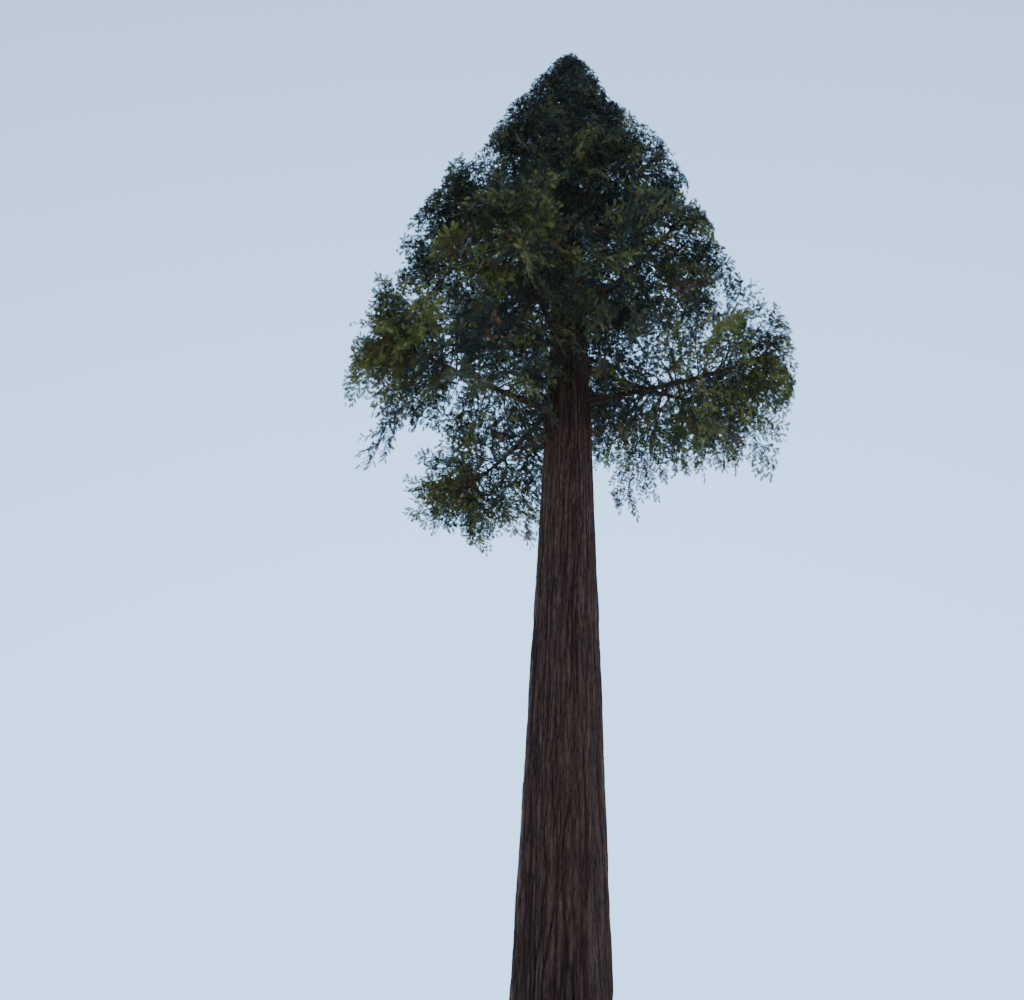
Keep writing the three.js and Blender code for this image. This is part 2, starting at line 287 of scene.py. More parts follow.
def square_to(along):
    """Two directions square to each line and to each other, the first one level unless it is steep."""
    along = np.atleast_2d(along)
    steep = np.abs(along[:, 2:]) > STEEP
    helper = np.where(steep, [[1.0, 0.0, 0.0]], [[0.0, 0.0, 1.0]])
    side = unit(np.cross(helper, along))
    return side, np.cross(along, side)


def wrapped_noise(rng, angle, z, around, pitch):
    """Smooth noise from -1 to 1 that closes round the tree. Its cells are pitch metres tall."""
    rows = int(TREE_HEIGHT / pitch) + 3
    values = rng.uniform(-1, 1, (rows, around))
    a = (angle / (2 * np.pi) * around) % around
    b = z / pitch
    i, j = a.astype(int), b.astype(int)
    u, v = a - i, b - j
    u, v = u * u * (3 - 2 * u), v * v * (3 - 2 * v)
    i, i_next = i % around, (i + 1) % around
    low = values[j, i] * (1 - u) + values[j, i_next] * u
    high = values[j + 1, i] * (1 - u) + values[j + 1, i_next] * u
    return low * (1 - v) + high * v


def noise_sum(rng, angle, z, rows):
    """Wrapped noise of several sizes. Each row has its weight, its cells round the tree and their height."""
    return sum(weight * wrapped_noise(rng, angle, z, around, pitch) for weight, around, pitch in rows)


# Trunk and limbs
def trunk_centre(z):
    z = np.asarray(z, float)
    share = z / TREE_HEIGHT
    return np.stack([BOW[0] * np.sin(np.pi * share), BOW[1] * np.sin(2 * np.pi * share), z], -1)


def tapered_radius(z):
    return TRUNK_RADIUS * (1 - np.minimum(z, TREE_HEIGHT) / TREE_HEIGHT) ** TAPER_POWER


def trunk_radius(z, angle):
    buttress = 1 + sum(depth * np.cos(ridges * angle + turn) for ridges, depth, turn in BUTTRESS)
    flute = FLUTE_DEPTH * np.cos(FLUTES * angle + FLUTE_TWIST * z / TREE_HEIGHT)
    return tapered_radius(z) * (1 + flute) + FLARE * np.exp(-z / FLARE_HEIGHT) * buttress


def up_crown(z):
    """How far up the crown a height is, from 0 at its foot to 1 at its tip."""
    return np.clip((z - CROWN_BASE) / (TREE_HEIGHT - CROWN_BASE), 0, 1)


def crown_radius(z):
    t = up_crown(z)
    drawn_in = np.minimum(1, CROWN_FOOT[0] + CROWN_FOOT[1] * t)
    return CROWN_RADIUS * (1 - t**CROWN_POWER) * drawn_in


def limb_spots():
    """Each limb's name, whether it has a bough, and its height and azimuth before small random moves."""
    spots = []
    for index in range(BOUGH_COUNT + UPPER_COUNT):
        has_bough = index < BOUGH_COUNT
        k, count = (index, BOUGH_COUNT) if has_bough else (index - BOUGH_COUNT, UPPER_COUNT)
        height = mix(BOUGH_HEIGHTS if has_bough else UPPER_HEIGHTS, k / (count - 1))
        spots.append((f"{index + 1:02d}", has_bough, height, FIRST_AZIMUTH + index * GOLDEN_TURN))
    return spots + [("left", True, *LEFT_BOUGH)]


class Limb:
    """A limb's middle line and taper. A limb with a bough enters its mass at BOUGH_SHARE."""

    def __init__(self, index, name, has_bough, height, azimuth):
        draw = seeded(SEEDS["limb"] + index)
        self.name = name
        self.seed = SEEDS["mass"] + SEEDS["mass_step"] * index
        self.has_bough = has_bough
        self.height = height + HEIGHT_JITTER * (draw() - 0.5)
        azimuth += AZIMUTH_JITTER * (draw() - 0.5)
        self.reach = mix(REACH, draw())
        self.length = LENGTH_TO_CROWN * self.reach * crown_radius(self.height)
        up = up_crown(self.height)
        pitches = (mix(ROOT_PITCH, up), mix(TIP_PITCH, up) * mix(TIP_PITCH_VARY, draw()))
        swing = SWING * (draw() - 0.5)
        self.radius = BOUGH_TO_TRUNK * tapered_radius(self.height)
        self.scale = (crown_radius(self.height) / CROWN_RADIUS) ** MASS_SCALE_POWER
        t = (np.arange(LIMB_STEPS) + 0.5) / LIMB_STEPS
        pitch = mix(pitches, t)
        turn = azimuth + swing * t
        steps = np.stack([np.cos(pitch) * np.cos(turn), np.cos(pitch) * np.sin(turn), np.sin(pitch)], 1)
        walked = np.cumsum(steps * self.length / LIMB_STEPS, axis=0)
        self.line = trunk_centre(self.height) + np.vstack([np.zeros(3), walked])
        self.centre = self.point(MASS_CENTRE)[0]

    def point(self, share):
        at = np.minimum(LIMB_STEPS - 1e-6, np.atleast_1d(share) * LIMB_STEPS)
        k = at.astype(int)
        return self.line[k] + (self.line[k + 1] - self.line[k]) * (at - k)[:, None]

    def direction(self, share):
        k = np.minimum(LIMB_STEPS - 1, (np.atleast_1d(share) * LIMB_STEPS).astype(int))
        return unit(self.line[k + 1] - self.line[k])

    def radius_at(self, share):
        from_bark = np.maximum(0, share * self.length - tapered_radius(self.height))
        collar = 1 + COLLAR_SWELL * np.exp(-from_bark / COLLAR_LENGTH)
        return self.radius * (1 - LIMB_TAPER * share) * collar


class Leader(Limb):
    """The last upright shoot above the trunk's top."""

    def __init__(self):
        self.name = "leader"
        self.seed = SEEDS["leader"]
        self.has_bough = False
        self.height = TRUNK_TOP
        self.reach = 1
        self.length = TREE_HEIGHT - TRUNK_TOP
        self.radius = LEADER_RADIUS * tapered_radius(TRUNK_TOP)
        self.scale = LEADER_SCALE
        rise = SEAM + np.linspace(0, LEADER_LENGTH * self.length, LIMB_STEPS + 1)
        self.line = trunk_centre(TRUNK_TOP) + rise[:, None] * np.array([0, 0, 1])
        self.centre = self.line[LEADER_CENTRE]


limbs = [Limb(index, *spot) for index, spot in enumerate(limb_spots())] + [Leader()]
foliage_nodes = [f"foliage_{limb.name}" for limb in limbs]
centres = np.array([limb.centre for limb in limbs])
for number, limb in enumerate(limbs):
    others = np.delete(centres, number, axis=0)
    limb.walls = unit(others - limb.centre)
    limb.wall_reach = (limb.walls * (others + limb.centre) / 2).sum(1) - CELL_GAP / 2


# The space that a mass keeps to
def inside_space(limb, points, bays=0):
    """Which points keep to the mass's own cell of space and under the crown's outline."""
    z = points[..., 2]
    reach = limb.reach * crown_radius(z) + CROWN_MARGIN - bays
    inside = (z < TREE_HEIGHT) & (np.hypot(points[..., 0], points[..., 1]) < reach)
    return inside & (points @ limb.walls.T < limb.wall_reach).all(-1)


def clear_of_trunk(points):
    z = points[..., 2]
    off = points - trunk_centre(z)
    return np.hypot(off[..., 0], off[..., 1]) > tapered_radius(z) * (1 + FLUTE_DEPTH) + LIMB_GAP


def inside_box(points):
    """Which points keep to the box of the tree's solids, apart from a small margin."""
    low, high = np.array([list(corner) for corner in cad_box])
    return ((points > low - BOX_MARGIN) & (points < high + BOX_MARGIN)).all(-1)


def edge_bays(points):
    """How far the crown's outline draws in at each point, between its tufts."""
    rng = np.random.default_rng(EDGE_SEED)
    angle = np.arctan2(points[:, 1], points[:, 0])
    z = np.clip(points[:, 2], 0, TREE_HEIGHT)
    size = mix((EDGE_AT_TIP, 1), np.sqrt(crown_radius(z) / CROWN_RADIUS))
    bays = sum(depth * (1 + wrapped_noise(rng, angle, z, around, pitch)) / 2
               for around, pitch, depth in ROUGH_EDGE)
    return size * bays - EDGE_REACH


def in_own_space(limb, points):
    """Which points are clear of the trunk, within the mass's own space and the crown's rough edge."""
    return clear_of_trunk(points) & inside_box(points) & inside_space(limb, points, edge_bays(points))


# Foliage: twigs with their fans, then twiglets on the fans, then sprays on the twiglets
class TwigKind(NamedTuple):
    """The twigs of one kind in a mass, or on the trunk, where the spreads are how far they rise.

    In a mass the first one leaves its bough, or its stem, at the share given.
    """

    count: int
    size: float
    spreads: tuple
    crowding: float
    seed: int
    sides: int
    rings: int
    first_on_bough: float = 0
    first_on_stem: float = 0


class Fan(NamedTuple):
    """A twig from its start to its end, and the fan that it carries from the fan's root."""

    start: np.ndarray
    end: np.ndarray
    root: np.ndarray
    along: np.ndarray
    across: np.ndarray
    length: float
    root_radius: float


OUTER_TWIGS = TwigKind(count=11, size=1, spreads=(2.0, 0.4), crowding=1, seed=0, sides=5, rings=7,
                       first_on_bough=BOUGH_SHARE, first_on_stem=TWIG_LOW_START * STEM_SHARE)
INNER_TWIGS = TwigKind(count=45, size=0.52, spreads=(2.1, 0.8), crowding=1.4, seed=17, sides=3, rings=4,
                       first_on_bough=0.24, first_on_stem=0.06)
RIM_TWIGS = TwigKind(count=15, size=0.66, spreads=(1.5, 0.6), crowding=0.7, seed=29, sides=3, rings=5,
                     first_on_bough=0.5, first_on_stem=0.35)
TRUNK_TWIGS = TwigKind(count=250, size=0.42, spreads=(-0.4, 0.9), crowding=0.8, seed=53, sides=3, rings=4)
TRUNK_TWIG_HEIGHTS = (22.5, 38.4)
TRUNK_TWIG_ROOT = 0.85
TRUNK_TWIG_LOOK = 0.85


def fan_directions(along, roll):
    """The directions along and across a fan that droops from a twig and rolls about itself."""
    fan_along = unit(along + np.array([0, 0, -FAN_DROOP]))
    level = unit(np.cross([0, 0, 1], fan_along))
    return fan_along, level * math.cos(roll) + np.cross(fan_along, level) * math.sin(roll)


def twig_plan(limb, j, kind, draw):
    """One twig: where it leaves the stem, which way it spreads and how its fan lies."""
    u = ((j + TWIG_OFFSET) / kind.count) ** kind.crowding
    first = kind.first_on_bough if limb.has_bough else kind.first_on_stem
    share = mix((first, STEM_SHARE), u)
    stem = limb.direction(share)
    side, over = square_to(stem)
    spread = mix(kind.spreads, u) * mix(SPREAD_VARY, draw())
    turn = j * GOLDEN_TURN + limb.seed
    across = side[0] * math.cos(turn) + TWIG_FLATNESS * over[0] * math.sin(turn)
    along = unit(stem[0] * math.cos(spread) + math.sin(spread) * across)
    length = TWIG_LENGTH * kind.size * limb.scale * mix(TWIG_SHORTENING, u) * mix(TWIG_VARY, draw())
    roll = FAN_ROLL * (draw() - 0.5)
    fan_length = FAN_LENGTH * kind.size * limb.scale * mix(FAN_VARY, draw())
    root_radius = max(TWIG_TIP_RADIUS, TWIG_ROOT_SHARE * float(limb.radius_at(share)))
    return limb.point(share)[0], along, length, *fan_directions(along, roll), fan_length, root_radius


def fitted_fan(limb, plan):
    """The twig and its fan, shrunk until they keep to their space, or None."""
    start, along, length, fan_along, fan_across, fan_length, root_radius = plan
    for shrink in SHRINKS:
        end = start + along * length * shrink
        reach = fan_length * shrink
        root = end - along * FAN_SUNK * reach
        corners = [root + fan_along * x * reach + fan_across * s * y * FAN_HALF_WIDTH * reach
                   for x, y in FAN_TEETH for s in (-1, 1)]
        if inside_space(limb, np.array([end, *corners])).all():
            return Fan(start, end, root, fan_along, fan_across, reach, root_radius)
    return None


def fan_axis(fan, t):
    """Points on the fan's arched middle line."""
    up = np.cross(fan.along, fan.across)
    up = up if up[2] > 0 else -up
    arch = FAN_ARCH * fan.length * (4 * t * (1 - t))
    return fan.root + fan.along * fan.length * t[:, None] + up * arch[:, None]


twig_tubes = []
twiglet_rows = []


def grow_twig(fan, kind, furthest):
    """A twig's tube, from its limb over its bend and along the fan's middle line to the furthest share."""
    t = np.linspace(FAN_START, furthest, kind.rings)
    line = np.vstack([fan.start, mix((fan.start, fan.end), TWIG_BEND), fan_axis(fan, t)])
    bend_radius = mix((fan.root_radius, TWIG_TIP_RADIUS), TWIG_BEND_TAPER)
    radii = np.concatenate([[fan.root_radius, bend_radius], TWIG_TIP_RADIUS * mix(FAN_TAPER, t / furthest)])
    twig_tubes.append((line, radii, kind.sides))


def grow_twiglets(number, fan, rng):
    """Twiglets in two ranks along the fan's middle line, and one at its tip."""
    count = max(TWIGLET_FEWEST, int(fan.length / TWIGLET_SPACING))
    k = np.arange(count + 1)
    at = np.append((k[:-1] + mix(TWIGLET_PLACE, rng.random(count))) / count, 1.0)
    side = np.where(k % 2 == 0, 1.0, -1.0)
    angle = mix(TWIGLET_ANGLES, at) * side * mix(TWIGLET_ANGLE_VARY, rng.random(count + 1))
    angle[-1] = 0
    half_width = np.interp(at, *zip(*FAN_OUTLINE)) * FAN_HALF_WIDTH * fan.length
    reach = half_width / np.sin(np.maximum(np.abs(angle), TWIGLET_LEAST_ANGLE))
    reach *= mix(TWIGLET_VARY, rng.random(count + 1))
    normal = np.cross(fan.along, fan.across)
    tilt = TWIGLET_TILT * rng.standard_normal(count + 1)
    direction = (fan.along * np.cos(angle)[:, None] + fan.across * np.sin(angle)[:, None]
                 + normal * np.sin(tilt)[:, None])
    twiglet_rows.append({
        "base": fan_axis(fan, at),
        "along": unit(direction),
        "normal": np.repeat(normal[None], count + 1, 0),
        "length": np.maximum(reach, TWIGLET_SHORTEST * fan.length),
        "limb": np.full(count + 1, number),
        "fan": np.full(count + 1, len(twiglet_rows)),
        "rim": at,
    })


def grow_fan(limb, number, fan, kind, rng):
    """A twig and its twiglets, unless the fan leaves its mass's space right at its root."""
    t = np.linspace(FAN_START, 1, FAN_CHECKS)
    kept = in_own_space(limb, fan_axis(fan, t))
    if kept[:2].all():
        furthest = 1 if kept.all() else t[np.argmin(kept) - 1]
        grow_twig(fan, kind, furthest)
        grow_twiglets(number, fan, rng)


def grow_mass(limb, number):
    """The twigs of one mass, each kind from its own seed."""
    rng = np.random.default_rng(limb.seed)
    for kind in (OUTER_TWIGS, INNER_TWIGS, RIM_TWIGS):
        draw = seeded(limb.seed + kind.seed)
        for j in range(kind.count):
            fan = fitted_fan(limb, twig_plan(limb, j, kind, draw))
            if fan is not None:
                grow_fan(limb, number, fan, kind, rng)


def grow_on_trunk():
    """Short twigs straight from the trunk between the limbs, each in the space of its nearest mass."""
    kind = TRUNK_TWIGS
    draw = seeded(kind.seed)
    rng = np.random.default_rng(kind.seed)
    for j in range(kind.count):
        height = mix(TRUNK_TWIG_HEIGHTS, ((j + TWIG_OFFSET) / kind.count) ** kind.crowding)
        turn = j * GOLDEN_TURN + kind.seed
        rise = mix(kind.spreads, draw())
        out = np.array([math.cos(turn), math.sin(turn), 0])
        along = out * math.cos(rise) + np.array([0, 0, math.sin(rise)])
        start = trunk_centre(height) + out * TRUNK_TWIG_ROOT * tapered_radius(height)
        number = int(np.argmin(np.linalg.norm(centres - start - out * TRUNK_TWIG_LOOK, axis=1)))
        size = kind.size * (crown_radius(height) / CROWN_RADIUS) ** MASS_SCALE_POWER
        length = TWIG_LENGTH * size * mix(TWIG_VARY, draw()) + tapered_radius(height)
        directions = fan_directions(along, FAN_ROLL * (draw() - 0.5))
        fan_length = FAN_LENGTH * size * mix(FAN_VARY, draw())
        fan = fitted_fan(limbs[number], (start, along, length, *directions, fan_length, TWIG_TIP_RADIUS))
        if fan is not None:
            grow_fan(limbs[number], number, fan, kind, rng)


for number, limb in enumerate(limbs):
    grow_mass(limb, number)
grow_on_trunk()
twiglets = {key: np.concatenate([rows[key] for rows in twiglet_rows]) for key in twiglet_rows[0]}


def keep(table, rows):
    """The rows of a table that a mask or a list of row numbers names."""
    return {key: value[rows] for key, value in table.items()}


def twiglet_point(table, t):
    """Points along sagging twiglets."""
    down = np.array([0, 0, -TWIGLET_SAG])
    return table["base"] + (table["along"] + down * t[:, None]) * (table["length"] * t)[:, None]


def each_in_own_space(table, points):
    """Which points, one for each row of a table, keep to the space of the mass that their row names."""
    inside = np.zeros(len(points), bool)
    for number, limb in enumerate(limbs):
        own = table["limb"] == number
        inside[own] = in_own_space(limb, points[own])
    return inside


def fitted_twiglets():
    """The twiglets, each shortened until its end keeps to its space, or dropped."""
    share = np.zeros(len(twiglets["length"]))
    for tried in TWIGLET_SHRINKS:
        ends = twiglet_point(twiglets, np.full(len(share), tried))
        share = np.where((share == 0) & each_in_own_space(twiglets, ends), tried, share)
    fitted = dict(twiglets, length=twiglets["length"] * share)
    return keep(fitted, (share > 0) & each_in_own_space(twiglets, twiglets["base"]))


twiglets = fitted_twiglets()


def grow_sprays(rng):
    """Sprays in two ranks along each twiglet, and one at its tip."""
    counts = np.maximum(SPRAY_FEWEST, np.round(twiglets["length"] / SPRAY_SPACING)).astype(int)
    owner = np.repeat(np.arange(len(counts)), counts)
    k = np.arange(counts.sum()) - np.repeat(np.cumsum(counts) - counts, counts)
    sprays = keep(twiglets, owner)
    last = k == counts[owner] - 1
    t = np.where(last, LAST_SPRAY_PLACE, (k + mix(SPRAY_PLACE, rng.random(len(k)))) / counts[owner])
    side = np.where(k % 2 == 0, 1.0, -1.0)
    angle = SPRAY_ANGLE * side * mix(SPRAY_ANGLE_VARY, rng.random(len(k)))
    angle[last] *= LAST_SPRAY_TURN
    twiglet_across = unit(np.cross(sprays["normal"], sprays["along"]))
    tilt = SPRAY_TILT * rng.standard_normal(len(k))
    along = (sprays["along"] * np.cos(angle)[:, None] + twiglet_across * np.sin(angle)[:, None]
             + sprays["normal"] * np.sin(tilt)[:, None] + np.array([0, 0, -SPRAY_DROOP]))
    sprays["base"] = twiglet_point(sprays, t)
    sprays["along"] = unit(along)
    roll = SPRAY_TILT * rng.standard_normal(len(k))
    across = unit(np.cross(sprays["normal"], sprays["along"]))
    up = np.cross(sprays["along"], across)
    sprays["across"] = across * np.cos(roll)[:, None] + up * np.sin(roll)[:, None]
    length = mix(SPRAY_LENGTH, rng.random(len(k))) * (1 - SPRAY_SHORTENING * t)
    in_shade = 1 - up_crown(sprays["base"][:, 2])
    sprays["length"] = length * (1 + SPRAY_SHADE_GROWTH * in_shade)
    sprays["rim"] = (sprays["rim"] + t) / 2
    sprays["twiglet"] = owner
    tips = sprays["base"] + sprays["along"] * sprays["length"][:, None]
    return keep(sprays, each_in_own_space(sprays, tips) & clear_of_trunk(sprays["base"]))


sprays = grow_sprays(np.random.default_rng(SPRAY_SEED))

# Meshes from arrays, each piece of foliage with at most so many triangles
PIECE_LIMIT = 190000


def mesh_object(name, points, faces, smooth=False):
    """A mesh object from an array of points and one or more arrays of faces, each of one size."""
    blocks = [np.asarray(f, np.int32) for f in (faces if isinstance(faces, list) else [faces])]
    corners = np.concatenate([f.ravel() for f in blocks])
    sizes = np.concatenate([np.full(len(f), f.shape[1]) for f in blocks])
    mesh = bpy.data.meshes.new(name)
    mesh.vertices.add(len(points))
    mesh.vertices.foreach_set("co", np.asarray(points, np.float32).ravel())
    mesh.loops.add(len(corners))
    mesh.loops.foreach_set("vertex_index", corners)
    mesh.polygons.add(len(sizes))
    mesh.polygons.foreach_set("loop_start", (np.cumsum(sizes) - sizes).astype(np.int32))
    mesh.polygons.foreach_set("use_smooth", np.full(len(sizes), smooth))
    mesh.update(calc_edges=True)
    piece = bpy.data.objects.new(name, mesh)
    bpy.context.scene.collection.objects.link(piece)
    return piece


def joined_copies(name, points, triangles):
    """One mesh of many copies of a small form: the points of each copy, and the triangles of one."""
    first = np.arange(len(points)) * points.shape[1]
    faces = first[:, None, None] + np.array(triangles)[None]
    return mesh_object(name, points.reshape(-1, 3), faces.reshape(-1, 3))


def grid_faces(rings, sides):
    """Quads between closed rings of points that follow each other in an array."""
    ring, side = np.meshgrid(np.arange(rings - 1), np.arange(sides), indexing="ij")
    a = (ring * sides + side).ravel()
    b = (ring * sides + (side + 1) % sides).ravel()
    return np.stack([a, b, b + sides, a + sides], 1)


def barked_tube(name, rings, ends, relief, end_relief):
    """A closed tube from rings of points and its two end points, with the bark's relief at each point."""
    count = relief.size
    sides = relief.shape[1]
    side = np.arange(sides)
    around = (side + 1) % sides
    last = count - sides
    low_end = np.stack([around, side, np.full_like(side, count)], 1)
    high_end = np.stack([last + side, last + around, np.full_like(side, count + 1)], 1)
    points = np.vstack([rings.reshape(-1, 3), *ends])
    piece = mesh_object(name, points, [grid_faces(len(relief), sides), low_end, high_end], smooth=True)
    values = np.concatenate([relief.ravel(), [end_relief, end_relief]]).astype(np.float32)
    piece.data.attributes.new("relief", "FLOAT", "POINT").data.foreach_set("value", values)
    return piece


def add_piece(piece, material, slot, *nodes):
    """Gives a piece its material and body, and hides the solids of the nodes that it stands for. The slot is
    not used.
    """
    piece.data.materials.append(material)
    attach(piece, "root")
    if nodes:
        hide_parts(*nodes)
    return piece


# Procedural materials. A ramp's stops are places and colours, and greys above or below 1 are factors.
STREAK_SHARE = 0.46
PATCH_STRETCH = (0.8, 0.8, 0.22)
PATCH_STOPS = ((0.35, (0.66, 0.6, 0.6)), (0.65, (1.12, 1.02, 0.96)))
# Painted shade in the fine fibres' cracks and painted light on their crests, as factors on the bark's colour
CRACK_SHADE_STOPS = ((0.36, (0.34,) * 3), (0.47, (0.86,) * 3), (0.66, (1.42,) * 3))
BARK_GLOSS = ((0.3, (0.98,) * 3), (0.7, (0.82,) * 3))
BARK_SPECULAR = 0.25
# The trunk's and the limbs' bark from furrow to ridge: partly the bark's own colour, partly painted shade in
# the furrows and painted light on the ridges
TRUNK_BARK_STOPS = ((0.12, (0.016, 0.01, 0.01)), (0.36, (0.054, 0.029, 0.023)), (0.6, (0.1, 0.054, 0.041)),
                    (0.86, (0.17, 0.104, 0.08)))
LIMB_BARK_STOPS = ((0.2, (0.016, 0.011, 0.009)), (0.5, (0.06, 0.036, 0.026)), (0.8, (0.13, 0.085, 0.06)))
TWIG_BARK = ((0.05, 0.03, 0.018), (0.095, 0.06, 0.032))
LEAF_PATCH_STRETCH = (3.2, 3.2, 3.2)
LEAF_PATCH_PLACES = (0.36, 0.64)
LEAF_GLOSS = ((0.3, (0.62,) * 3), (0.7, (0.48,) * 3))
LEAF_SPECULAR = 0.22

# The darker and lighter tone of each leaf colour: lit and shaded copies of one green, from painted shade to
# painted light, and last the dry ones in their own russet
LEAF_COLOURS = {
    "deep": ((0.016, 0.022, 0.021), (0.029, 0.037, 0.032)),
    "half_shade": ((0.029, 0.037, 0.029), (0.051, 0.062, 0.042)),
    "half_light": ((0.058, 0.067, 0.034), (0.1, 0.106, 0.046)),
    "bright": ((0.13, 0.142, 0.035), (0.21, 0.21, 0.05)),
    "russet": ((0.11, 0.055, 0.025), (0.19, 0.098, 0.042)),
}


def new_material(name):
    material = bpy.data.materials.new(name)
    material.use_nodes = True
    nodes = material.node_tree.nodes
    return material, nodes, material.node_tree.links, nodes["Principled BSDF"]


def add_noise(nodes, links, stretch, detail, roughness=0.6):
    """A noise texture in the object's own space, with its cells per metre along the three axes."""
    place = nodes.new("ShaderNodeTexCoord")
    mapping = nodes.new("ShaderNodeMapping")
    mapping.inputs["Scale"].default_value = stretch
    noise = nodes.new("ShaderNodeTexNoise")
    noise.inputs["Scale"].default_value = 1.0
    noise.inputs["Detail"].default_value = detail
    noise.inputs["Roughness"].default_value = roughness
    links.new(place.outputs["Object"], mapping.inputs["Vector"])
    links.new(mapping.outputs["Vector"], noise.inputs["Vector"])
    return noise.outputs["Fac"]


def add_ramp(nodes, links, factor, stops):
    ramp = nodes.new("ShaderNodeValToRGB")
    elements = ramp.color_ramp.elements
    while len(elements) < len(stops):
        elements.new(0.5)
    for element, (at, colour) in zip(elements, stops):
        element.position = at
        element.color = (*colour, 1)
    links.new(factor, ramp.inputs["Fac"])
    return ramp.outputs["Color"]


def add_product(nodes, links, first, second):
    """Two colours multiplied."""
    node = nodes.new("ShaderNodeMix")
    node.data_type = "RGBA"
    node.blend_type = "MULTIPLY"
    node.inputs["Factor"].default_value = 1.0
    links.new(first, node.inputs["A"])
    links.new(second, node.inputs["B"])
    return node.outputs["Result"]


def bark_material(name, streak_stretch, fibre_stretch, bump_distance, stops):
    """Fibrous bark from the mesh's relief: darker furrows and paler ridges, partly the bark's own colour and
    partly painted shade and painted light, with streaks and patches, and painted shade in the fibres'
    cracks.
    """
    material, nodes, links, shader = new_material(name)
    relief = nodes.new("ShaderNodeAttribute")
    relief.attribute_name = "relief"
    streaks = add_noise(nodes, links, streak_stretch, detail=8, roughness=0.72)
    height = nodes.new("ShaderNodeMix")
    height.inputs["Factor"].default_value = STREAK_SHARE
    links.new(relief.outputs["Fac"], height.inputs["A"])
    links.new(streaks, height.inputs["B"])
    # Colour by relief, with painted shade in the furrows and painted light on the ridges
    colour = add_ramp(nodes, links, height.outputs["Result"], stops)
    patches = add_ramp(nodes, links, add_noise(nodes, links, PATCH_STRETCH, detail=3), PATCH_STOPS)
    fibres = add_noise(nodes, links, fibre_stretch, detail=6, roughness=0.7)
    # Painted shade and painted light from the fibres that also make the bump
    crack_shade = add_ramp(nodes, links, fibres, CRACK_SHADE_STOPS)
    patched = add_product(nodes, links, colour, patches)
    links.new(add_product(nodes, links, patched, crack_shade), shader.inputs["Base Color"])
    bump = nodes.new("ShaderNodeBump")
    bump.inputs["Strength"].default_value = 1.0
    bump.inputs["Distance"].default_value = bump_distance
    links.new(fibres, bump.inputs["Height"])
    links.new(bump.outputs["Normal"], shader.inputs["Normal"])
    links.new(add_ramp(nodes, links, streaks, BARK_GLOSS), shader.inputs["Roughness"])
    shader.inputs["Specular IOR Level"].default_value = BARK_SPECULAR
    return material


def leaf_material(name, shades):
    """Leafy sprays: two near shades of one colour in soft patches, with a waxy sheen."""
    material, nodes, links, shader = new_material(name)
    patches = add_noise(nodes, links, LEAF_PATCH_STRETCH, detail=4)
    colour = add_ramp(nodes, links, patches, tuple(zip(LEAF_PATCH_PLACES, shades)))
    links.new(colour, shader.inputs["Base Color"])
    links.new(add_ramp(nodes, links, patches, LEAF_GLOSS), shader.inputs["Roughness"])
    shader.inputs["Specular IOR Level"].default_value = LEAF_SPECULAR
    return material


trunk_bark = bark_material("trunk_bark", streak_stretch=(11, 11, 0.8), fibre_stretch=(38, 38, 6),
                           bump_distance=0.03, stops=TRUNK_BARK_STOPS)
limb_bark = bark_material("limb_bark", streak_stretch=(14, 14, 14), fibre_stretch=(60, 60, 60),
                          bump_distance=0.004, stops=LIMB_BARK_STOPS)
twig_bark = leaf_material("twig_bark", TWIG_BARK)
leaf_materials = {key: leaf_material(f"leaves_{key}", shades) for key, shades in LEAF_COLOURS.items()}


# Bark relief: long upright ridges that wander, join and part, broken by furrows
def bark_relief(angle, z, rng):
    """Height of the bark, from 0 in a furrow to 1 on a ridge, by families of furrows that cross."""
    floor = np.zeros_like(angle)
    for count, width, pitch, depth in FURROWS:
        wander = noise_sum(rng, angle, z, [(sway, around, pitch / finer) for sway, around, finer in WANDER])
        phase = count * angle / (2 * np.pi) + wander
        off = np.abs(phase - np.round(phase))
        breaks = FURROW_BREAKS * wrapped_noise(rng, angle, z, count, pitch / 2)
        presence = np.clip(FURROW_PRESENCE + breaks, 0, 1)
        floor = np.maximum(floor, depth * presence * np.clip(1 - off / width, 0, 1) ** FURROW_POWER)
    plates = noise_sum(rng, angle, z, PLATES)
    rough = noise_sum(rng, angle, z, ROUGHNESS)
    return np.clip(RIDGE_TOP - floor * (FURROW_DROP + plates) + plates + rough, 0, 1)


def make_trunk():
    """The whole trunk, with rings that stand closer near the ground."""
    heights = TRUNK_TOP * np.linspace(0, 1, TRUNK_RINGS) ** TRUNK_CROWDING
    turns = 2 * np.pi * np.arange(TRUNK_SIDES) / TRUNK_SIDES
    z, angle = np.meshgrid(heights, turns, indexing="ij")
    relief = bark_relief(angle, z, np.random.default_rng(RIDGE_SEED))
    depth = RIDGE_DEPTH * (tapered_radius(z) / TRUNK_RADIUS) ** RIDGE_DEPTH_POWER
    depth *= 1 + RIDGE_DEPTH_AT_FLARE * np.exp(-z / FLARE_HEIGHT)
    radius = trunk_radius(z, angle) + depth * (relief - SURFACE_RELIEF)
    spokes = np.stack([np.cos(angle), np.sin(angle), np.zeros_like(angle)], -1)
    rings = trunk_centre(z) + radius[..., None] * spokes
    ends = (trunk_centre(0), trunk_centre(TRUNK_TOP))
    piece = barked_tube("trunk_with_bark", rings, ends, relief, TRUNK_END_RELIEF)
    return add_piece(piece, trunk_bark, "bark", "trunk")


def tube_points(line, radii, sides, lumps=None):
    """Rings of points square to a line, with radii for each ring, and lumps for each point if given."""
    along = unit(np.gradient(line, axis=0))
    side, over = square_to(along)
    angle = 2 * np.pi * np.arange(sides) / sides
    spokes = side[:, None] * np.cos(angle)[None, :, None] + over[:, None] * np.sin(angle)[None, :, None]
    reach = np.repeat(radii[:, None], sides, 1)
    if lumps is not None:
        reach = reach * lumps
    return line[:, None] + spokes * reach[..., None]


